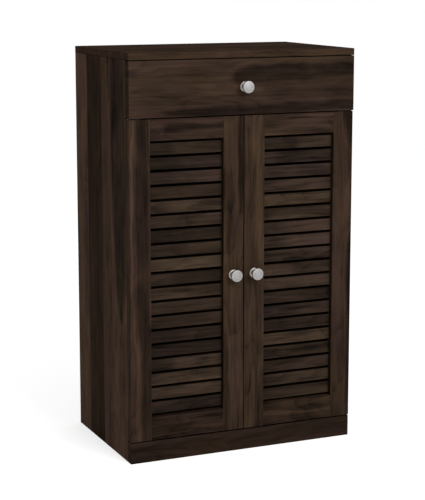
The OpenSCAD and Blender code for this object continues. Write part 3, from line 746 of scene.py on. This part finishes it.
# What the dice give each slat: (throw, lowest, highest)
slatDraws = {
    "seed": (0, 0, 9),
    "heart": (155, 0.0, 0.8),
    "way": (93, 0, 1),
    "tongueWidth": (124, 3 * mm, 20 * mm),
    "tipAlong": (31, -90 * mm, 90 * mm),
    "tipAcross": (62, -14 * mm, 14 * mm),
    "pithAlong": (248, -80 * mm, 80 * mm),
    "pithAcross": (279, -14 * mm, 14 * mm),
    "pithDeep": (310, -30 * mm, -8 * mm),
}
# What each door adds to those throws, and the throws of its own
doorDraws = {
    "left": (0, {"tone": (11455, 0.46, 1.13), "slant": (1936, -0.32, 0.22), "hue": (17925, 0.1, 0.8)}),
    "right": (100, {"tone": (20408, 0.59, 1.26), "slant": (25524, -0.28, 0.28), "hue": (5656, -0.1, 0.6)}),
}


def makeSlatTree():
    tree, given, out = newGroup("slatStack", {
        "Geometry": "Geometry", "Count": "Int", "Lowest": "Vector", "Pitch": "Float", "Size": "Vector",
        "Wood": "Material",
    }, {"Geometry": "Geometry"}, "GeometryNodeTree")
    row = addNode(tree, "GeometryNodeMeshLine", {
        "Count": given["Count"], "Start Location": given["Lowest"],
        "Offset": joinVector(tree, 0.0, 0.0, given["Pitch"])}, mode="OFFSET")
    slat = addNode(tree, "GeometryNodeMeshCube", {"Size": given["Size"]})
    placed = addNode(tree, "GeometryNodeInstanceOnPoints", {
        "Points": row.outputs["Mesh"], "Instance": slat.outputs["Mesh"]})
    number = addNode(tree, "GeometryNodeInputIndex", {}).outputs[0]
    numbered = addNode(tree, "GeometryNodeStoreNamedAttribute", {
        "Geometry": placed.outputs["Instances"], "Name": "slatNumber", "Value": number,
    }, data_type="FLOAT", domain="INSTANCE")
    realizeIn(tree, numbered.outputs[0], given["Wood"], out)
    return tree


# One throw for each slat, by its number
def throwDice(tree, number, throw, low, high):
    place = plus(tree, number, throw)
    dice = addNode(tree, "ShaderNodeTexWhiteNoise", {"W": place}, noise_dimensions="1D")
    return remap(tree, dice.outputs["Value"], 0, 1, low, high)


# Every slat is cut from another place: its number draws its tone, its hue and the tongue of heartwood in it
def makeSlatMaterial(door, centre, halfLength, lowest, pitch):
    k, look, name = slatShape, slatFinish, door + "Slats"
    material, tree, shader = newMaterial(name, look["light"], stainShape["roughness"], specular=0.0)
    number = readAttribute(tree, "slatNumber")
    firstThrow, ownDraws = doorDraws[door]
    draws = {label: (firstThrow + throw, low, high) for label, (throw, low, high) in slatDraws.items()}
    draws.update(ownDraws)
    drawn = {label: throwDice(tree, number, *draw) for label, draw in draws.items()}
    seed = drawn["seed"]
    point = useGroup(tree, grainSway, Vector=boardPoint(tree, "xzy"), Seed=seed, Amount=k["sway"])["Vector"]
    along, across = splitVector(tree, point)[:2]
    tip = joinVector(tree, plus(tree, centre.x, drawn["tipAlong"]),
                     plus(tree, across, drawn["tipAcross"]), 0.0)
    forwards = calc(tree, "GREATER_THAN", drawn["way"], 0.5)
    way = minus(tree, times(tree, forwards, 2.0), 1.0)
    tongue = useGroup(tree, heartTongue, Vector=point, Seed=seed, Tip=tip, Way=way, Lean=0.0,
                      HalfWidth=drawn["tongueWidth"], Opening=k["tongueOpening"], Taper=k["tongueTaper"])
    heart = times(tree, tongue["Mask"], drawn["heart"])
    height = plus(tree, lowest, times(tree, number, pitch))
    pith = joinVector(tree, plus(tree, centre.x, drawn["pithAlong"]),
                      plus(tree, height, drawn["pithAcross"]), drawn["pithDeep"])
    # painted shade on the slats' top and bottom faces, darkening the slots
    tone = times(tree, paintedFaceShade(tree, None, "z", k["paintedShadeTone"]), drawn["tone"])
    side = calc(tree, "DIVIDE", minus(tree, along, centre.x), halfLength)
    tone = times(tree, tone, plus(tree, 1.0, times(tree, side, drawn["slant"])))
    finishWood(tree, shader, look, "xzy", Vector=point, Seed=seed, Pith=pith, Tone=tone, Hue=drawn["hue"],
               Heart=heart, Rim=0.0)
    return material


def makeSlats():
    tree, k = makeSlatTree(), slatShape
    count, gap = k["count"], k["gap"]
    for door in doorDraws:
        node = door + "_slats"
        low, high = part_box(node)
        centre, size = (low + high) / 2, high - low
        height = (size.z - (count - 1) * gap) / count
        lowest, pitch = low.z + height / 2, height + gap
        slats = growPiece(door + "SlatStack", tree, bpy.data.meshes.new("emptySlats"), {
            "Count": count,
            "Lowest": (centre.x, centre.y, lowest),
            "Pitch": pitch,
            "Size": (size.x, size.y, height),
            "Wood": makeSlatMaterial(door, centre, size.x / 2, lowest, pitch),
        })
        bevel = slats.modifiers.new("easedEdges", "BEVEL")
        bevel.width = k["easedEdge"]
        bevel.segments = k["easedSteps"]
        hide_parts(node)
        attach(slats, door + "_door")


makeSlats()
print("slats made")


knobShape = {
    "sides": 72,
    "roseRadius": 13 * mm,
    "roseThickness": 4 * mm,
    "roseEdge": 0.8 * mm,       # upright part of the rose's rim, before it domes towards the neck
    "roseSteps": 9,
    "neckRadius": 6.5 * mm,
    "neckSteps": 12,
    "waist": 1.5 * mm,
    "headThickness": 8 * mm,
    "rimRadius": 1.5 * mm,
    "rimSteps": 5,
    "faceRimRadius": 2.2 * mm,
    "faceRimSteps": 7,
    "faceRimEnd": 8,            # degrees left of its quarter turn, where the face begins
    "faceSteps": 14,
    "dome": 1.0 * mm,
    "ringRadius": 9 * mm,
    "ringWidth": 0.5 * mm,
    "discColour": (0.325, 0.318, 0.32),
    "rimColour": (0.335, 0.316, 0.304),
    "polish": 0.34,
    "marksPerMetre": 9000.0,
    "marksRoughness": 0.12,
    "marksDepth": 0.03 * mm,
    "marksBump": 0.5,
    "sharpFrom": 40,            # degrees
}


def arc(centre, radius, start, end, steps):
    turns = [math.radians(start + (end - start) * n / steps) for n in range(steps + 1)]
    return [(centre[0] + radius * math.cos(t), centre[1] + radius * math.sin(t)) for t in turns]


# Outline of a knob as (distance from the front, radius) from its foot to the middle of its face
def knobOutline(headRadius, reach):
    k = knobShape
    rose, roseRadius, roseEdge = k["roseThickness"], k["roseRadius"], k["roseEdge"]
    neck, rim, faceRim, dome = k["neckRadius"], k["rimRadius"], k["faceRimRadius"], k["dome"]
    points = [(0.0, 0.0), (0.0, roseRadius), (roseEdge, roseRadius)]
    for n in range(1, k["roseSteps"]):
        angle = math.radians(90 * n / k["roseSteps"])
        points.append((roseEdge + (rose - roseEdge) * math.sin(angle),
                       neck + (roseRadius - neck) * math.cos(angle)))
    headBack = reach - k["headThickness"]
    for n in range(k["neckSteps"] + 1):
        part = n / k["neckSteps"]
        points.append((rose + (headBack - rose) * part, neck - k["waist"] * math.sin(math.pi * part)))
    points += arc((headBack + rim, headRadius - rim), rim, 180, 90, k["rimSteps"])
    flat = headRadius - faceRim
    points += arc((reach - dome - faceRim, flat), faceRim, 90, k["faceRimEnd"], k["faceRimSteps"])
    ring, groove = k["ringRadius"], k["ringWidth"]
    for n in range(k["faceSteps"] + 1):
        radius = flat * (1 - n / k["faceSteps"])
        points.append((reach - dome * (radius / flat) ** 2, radius))
        if radius > ring >= flat * (1 - (n + 1) / k["faceSteps"]):
            rise = reach - dome * (ring / flat) ** 2
            points += [(rise, ring + groove), (rise - groove, ring), (rise, ring - groove)]
    return points


# Turned metal: its marks follow the outline, and its face is a shade cooler than its rim
def makeKnobMaterial():
    k = knobShape
    material, tree, shader = newMaterial("satinKnob", k["rimColour"], k["polish"], metallic=1.0)
    path = times(tree, readAttribute(tree, "turnPath"), k["marksPerMetre"])
    values = {"W": path, "Scale": 1.0, "Detail": 3, "Roughness": 0.7}
    marks = addNode(tree, "ShaderNodeTexNoise", values, noise_dimensions="1D").outputs["Fac"]
    wear = useGroup(tree, metalWear, Vector=objectPoint(tree), Polish=k["polish"])
    metal = mixColour(tree, readAttribute(tree, "onDisc"), (*k["rimColour"], 1), (*k["discColour"], 1))
    markRoughness = times(tree, marks, k["marksRoughness"])
    feed(tree, shader, {"Base Color": shadeColour(tree, metal, wear["Shade"]),
                        "Roughness": plus(tree, wear["Roughness"], markRoughness)})
    addBump(tree, shader, marks, k["marksDepth"], k["marksBump"])
    return material


def makeKnob(node, body, material):
    low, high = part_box(node)
    centre = (low + high) / 2
    reach = high.y - low.y
    outline = knobOutline((high.x - low.x) / 2, reach)
    shape = bmesh.new()
    pathLayer = shape.verts.layers.float.new("turnPath")
    discLayer = shape.verts.layers.float.new("onDisc")
    k = knobShape
    sides, headBack = k["sides"], reach - k["headThickness"]
    rings = []
    walked = 0.0
    for n, (out, radius) in enumerate(outline):
        if n:
            walked += math.dist(outline[n - 1], outline[n])
        ring = []
        for step in range(sides if radius > tolerance else 1):
            turn = 2 * math.pi * step / sides
            place = (centre.x + radius * math.cos(turn), high.y - out, centre.z + radius * math.sin(turn))
            vert = shape.verts.new(place)
            vert[pathLayer] = walked
            vert[discLayer] = float(radius < k["ringRadius"] and out > headBack)
            ring.append(vert)
        rings.append(ring)
    for first, second in zip(rings, rings[1:]):
        for step in range(sides):
            after = (step + 1) % sides
            corners = [first[step % len(first)], first[after % len(first)],
                       second[after % len(second)], second[step % len(second)]]
            shape.faces.new(list(dict.fromkeys(corners)))
    mesh = closedMesh(shape, node + "Turned")
    mesh.materials.append(material)
    smoothMesh(mesh, k["sharpFrom"])
    knob = addObject(node + "Turned", mesh)
    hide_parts(node)
    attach(knob, body)


satinKnob = makeKnobMaterial()
for knobBody in ("drawer", "left_door", "right_door"):
    makeKnob(knobBody + "_knob", knobBody, satinKnob)
print("knobs made")


screwShape = {
    "sides": 24,
    "recessArm": 0.58,          # of the recess's circle
    "recessWidth": 0.15,
    "recessDepth": 0.55,
    "recessFloor": 0.45,        # of the recess at its mouth
    "recessCircle": 0.9,        # of the head's radius
    "shank": 0.5,
    "tipRadius": 0.5 * mm,
    "tipLength": 3 * mm,
    "panHeight": 2.5 * mm,
    "panTop": 0.72,             # radius of a pan head's flat top, of the head's
    "panShoulder": (0.93, 0.35),        # radius of the head's, and depth of the head's height
    "sharpFrom": 30,            # degrees
}


# Splits the vertices of a bmesh into its separate solids, each a list of places
def separateSolids(shape):
    left = set(shape.verts)
    solids = []
    while left:
        solid, edge = [], [left.pop()]
        while edge:
            vert = edge.pop()
            solid.append(vert.co.copy())
            for link in vert.link_edges:
                other = link.other_vert(vert)
                if other in left:
                    left.remove(other)
                    edge.append(other)
        solids.append(solid)
    return solids


# Finds the screws of a CAD node: (middle of the head, way out of the hole, head radius, length)
def findScrews(node):
    shape = bmesh.new()
    shape.from_mesh(nodes[node].data)
    bmesh.ops.remove_doubles(shape, verts=shape.verts, dist=tolerance)
    screws = []
    for spots in separateSolids(shape):
        low = Vector([min(spot[i] for spot in spots) for i in range(3)])
        high = Vector([max(spot[i] for spot in spots) for i in range(3)])
        size, centre = high - low, (low + high) / 2
        axis = max(range(3), key=lambda i: size[i])
        spread = []
        for end in (low, high):
            fromAxis = [(spot - centre).length_squared - (spot[axis] - centre[axis]) ** 2
                        for spot in spots if abs(spot[axis] - end[axis]) < 10 * tolerance]
            spread.append(max(fromAxis))
        headAtHigh = spread[1] > spread[0]
        head, way = centre.copy(), Vector((0, 0, 0))
        head[axis] = high[axis] if headAtHigh else low[axis]
        way[axis] = 1.0 if headAtHigh else -1.0
        screws.append((head, way, math.sqrt(max(spread)), size[axis]))
    shape.free()
    screws.sort(key=lambda screw: tuple(round(part, 5) for part in screw[0]))
    return screws


# Corners of a cross recess, once round
def crossOutline(arm, half):
    corners = []
    for quarter in range(4):
        turn = math.pi / 2 * quarter
        for x, y in ((arm, -half), (arm, half), (half, half)):
            corners.append((x * math.cos(turn) - y * math.sin(turn),
                            x * math.sin(turn) + y * math.cos(turn)))
    return corners


# One screw with its head's top at the origin, pointing down; outline is (radius, height) from the top
def makeScrewMesh(outline, circle):
    k = screwShape
    shape = bmesh.new()
    mouth = crossOutline(k["recessArm"] * circle, k["recessWidth"] * circle)
    top = outline[0][1]
    floor = top - k["recessDepth"] * circle
    upper = [shape.verts.new((x, y, top)) for x, y in mouth]
    lower = [shape.verts.new((x * k["recessFloor"], y * k["recessFloor"], floor)) for x, y in mouth]
    turns = [2 * math.pi * n / k["sides"] for n in range(k["sides"])]
    rings = []
    for radius, height in outline:
        rings.append([shape.verts.new((radius * math.cos(t), radius * math.sin(t), height)) for t in turns])
    rims = []
    for loop in (upper, rings[0]):
        rims += [shape.edges.new((a, b)) for a, b in zip(loop, loop[1:] + loop[:1])]
    bmesh.ops.triangle_fill(shape, edges=rims, use_beauty=True)
    for first, second in [(upper, lower)] + list(zip(rings, rings[1:])):
        for n in range(len(first)):
            after = (n + 1) % len(first)
            shape.faces.new((first[n], first[after], second[after], second[n]))
    shape.faces.new(lower)
    shape.faces.new(rings[-1])
    return closedMesh(shape, "screwPattern")


# A pan head, as behind a knob, or a countersunk one with a pointed tip
def screwOutline(radius, length, panHead):
    k = screwShape
    shank = radius * k["shank"]
    if panHead:
        pan, (shoulder, drop) = k["panHeight"], k["panShoulder"]
        return [(radius * k["panTop"], 0), (radius * shoulder, -pan * drop), (radius, -pan), (shank, -pan),
                (shank, -length)]
    return [(radius, 0), (shank, shank - radius), (shank, k["tipLength"] - length),
            (k["tipRadius"], -length)]


def valueSockets(sockets):
    return [socket for socket in sockets if socket.type == "VALUE"]


# A screw at every hole, its head turned at random
def makeScrewTree():
    tree, given, out = newGroup("screwsAtHoles", {
        "Geometry": "Geometry", "Screw": "Object", "Scale": "Float", "Seed": "Int", "Metal": "Material",
    }, {"Geometry": "Geometry"}, "GeometryNodeTree")
    pattern = addNode(tree, "GeometryNodeObjectInfo", {"Object": given["Screw"]})
    way = addNode(tree, "GeometryNodeInputNamedAttribute", {"Name": "wayOut"}, data_type="FLOAT_VECTOR")
    aimed = addNode(tree, "FunctionNodeAlignRotationToVector", {"Vector": way.outputs[0]}, axis="Z")
    spin = addNode(tree, "FunctionNodeRandomValue", {"Seed": given["Seed"]}, data_type="FLOAT")
    for socket, value in zip(valueSockets(spin.inputs), (0.0, math.pi / 2)):
        socket.default_value = value
    turn = addNode(tree, "FunctionNodeAxisAngleToRotation", {
        "Axis": (0, 0, 1), "Angle": valueSockets(spin.outputs)[0]})
    turned = addNode(tree, "FunctionNodeRotateRotation", {
        "Rotation": aimed.outputs[0], "Rotate By": turn.outputs[0]}, rotation_space="LOCAL")
    placed = addNode(tree, "GeometryNodeInstanceOnPoints", {
        "Points": given["Geometry"], "Instance": pattern.outputs["Geometry"],
        "Rotation": turned.outputs["Rotation"], "Scale": given["Scale"]})
    realizeIn(tree, placed.outputs["Instances"], given["Metal"], out)
    return tree


def makeScrews():
    tree = makeScrewTree()
    members = frame["record"]["behaviour"]["bodies"]
    bodies = {node: body for body in members for node in members[body]}
    screwNodes = [node for node in sorted(nodes) if node.endswith(("_screws", "_screw"))]
    for seed, node in enumerate(screwNodes):
        screws = findScrews(node)
        radius, length = screws[0][2:]
        outline = screwOutline(radius, length, node.endswith("_screw"))
        pattern = addObject("screwPattern", makeScrewMesh(outline, radius * screwShape["recessCircle"]))
        holes = bpy.data.meshes.new("screwHoles")
        holes.from_pydata([tuple(screw[0]) for screw in screws], [], [])
        wayOut = holes.attributes.new("wayOut", "FLOAT_VECTOR", "POINT")
        for item, screw in zip(wayOut.data, screws):
            item.vector = screw[1]
        piece = growPiece(node + "Driven", tree, holes, {
            "Screw": pattern, "Scale": 1.0, "Seed": seed, "Metal": fittingMaterials["zincSteel"]})
        bpy.data.objects.remove(pattern)
        smoothMesh(piece.data, screwShape["sharpFrom"])
        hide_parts(node)
        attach(piece, bodies[node])


makeScrews()
print("screws made")


roomLook = {
    "floorColour": (0.86, 0.86, 0.86),
    "floorRoughness": 0.9,
    "floorReach": 40.0,
    "floorGlow": 0.56,      # only in what the camera, metal and glass see of it
    "skyStrength": 0.52,
    "skySeen": 1.0,
}


# 1 where the camera looks, and in what metal and glass show
def seenDirectly(tree):
    path = addNode(tree, "ShaderNodeLightPath", {}).outputs
    seen = calc(tree, "MAXIMUM", path["Is Camera Ray"], path["Is Glossy Ray"])
    return calc(tree, "MAXIMUM", seen, path["Is Transmission Ray"])


def makeFloor():
    k = roomLook
    mesh = bpy.data.meshes.new("studioFloor")
    far = k["floorReach"]
    mesh.from_pydata([(-far, -far, 0), (far, -far, 0), (far, far, 0), (-far, far, 0)], [], [(0, 1, 2, 3)])
    floor = addObject("studioFloor", mesh)
    material, tree, shader = newMaterial("studioFloor", k["floorColour"], k["floorRoughness"], specular=0.0)
    glow = times(tree, seenDirectly(tree), k["floorGlow"])
    feed(tree, shader, {"Emission Color": (1, 1, 1, 1), "Emission Strength": glow})
    mesh.materials.append(material)


def makeSky():
    world = bpy.data.worlds.new("studioSky")
    scene.world = world
    world.use_nodes = True
    tree = world.node_tree
    strength = remap(tree, seenDirectly(tree), 0, 1, roomLook["skyStrength"], roomLook["skySeen"])
    feed(tree, tree.nodes["Background"], {"Color": (1, 1, 1, 1), "Strength": strength})


lamps = {
    "frontLamp": dict(place=(1.1, -4.1, 3.0), size=2.4, power=112),
    "leftLamp": dict(place=(-4.0, -1.6, 2.4), size=2.2, power=20),
}
lampTarget = (0, 0, 0.5)


def makeLamps():
    for name, lamp in lamps.items():
        light = bpy.data.lights.new(name, "AREA")
        light.shape = "SQUARE"
        light.size = lamp["size"]
        light.energy = lamp["power"]
        holder = addObject(name, light)
        holder.location = lamp["place"]
        aim = Vector(lampTarget) - holder.location
        holder.rotation_euler = aim.to_track_quat("-Z", "Y").to_euler()


cameraPlace = {
    "position": (-1.5308, -3.4689, 1.1885),
    "yaw": 23.73,
    "pitch": 9.43,
    "lens": 107.8,          # millimetres, as the sensor's width
    "sensor": 36,
    "shiftDown": 0.06,
}


def makeCamera():
    data = bpy.data.cameras.new("studioCamera")
    data.lens = cameraPlace["lens"]
    data.sensor_width = cameraPlace["sensor"]
    data.shift_y = -cameraPlace["shiftDown"]
    camera = addObject("studioCamera", data)
    camera.location = cameraPlace["position"]
    camera.rotation_euler = (math.radians(90 - cameraPlace["pitch"]), 0, -math.radians(cameraPlace["yaw"]))
    scene.camera = camera


makeFloor()
makeSky()
makeLamps()
makeCamera()
scene.view_settings.view_transform = "Standard"
print("room, lamps and camera set")
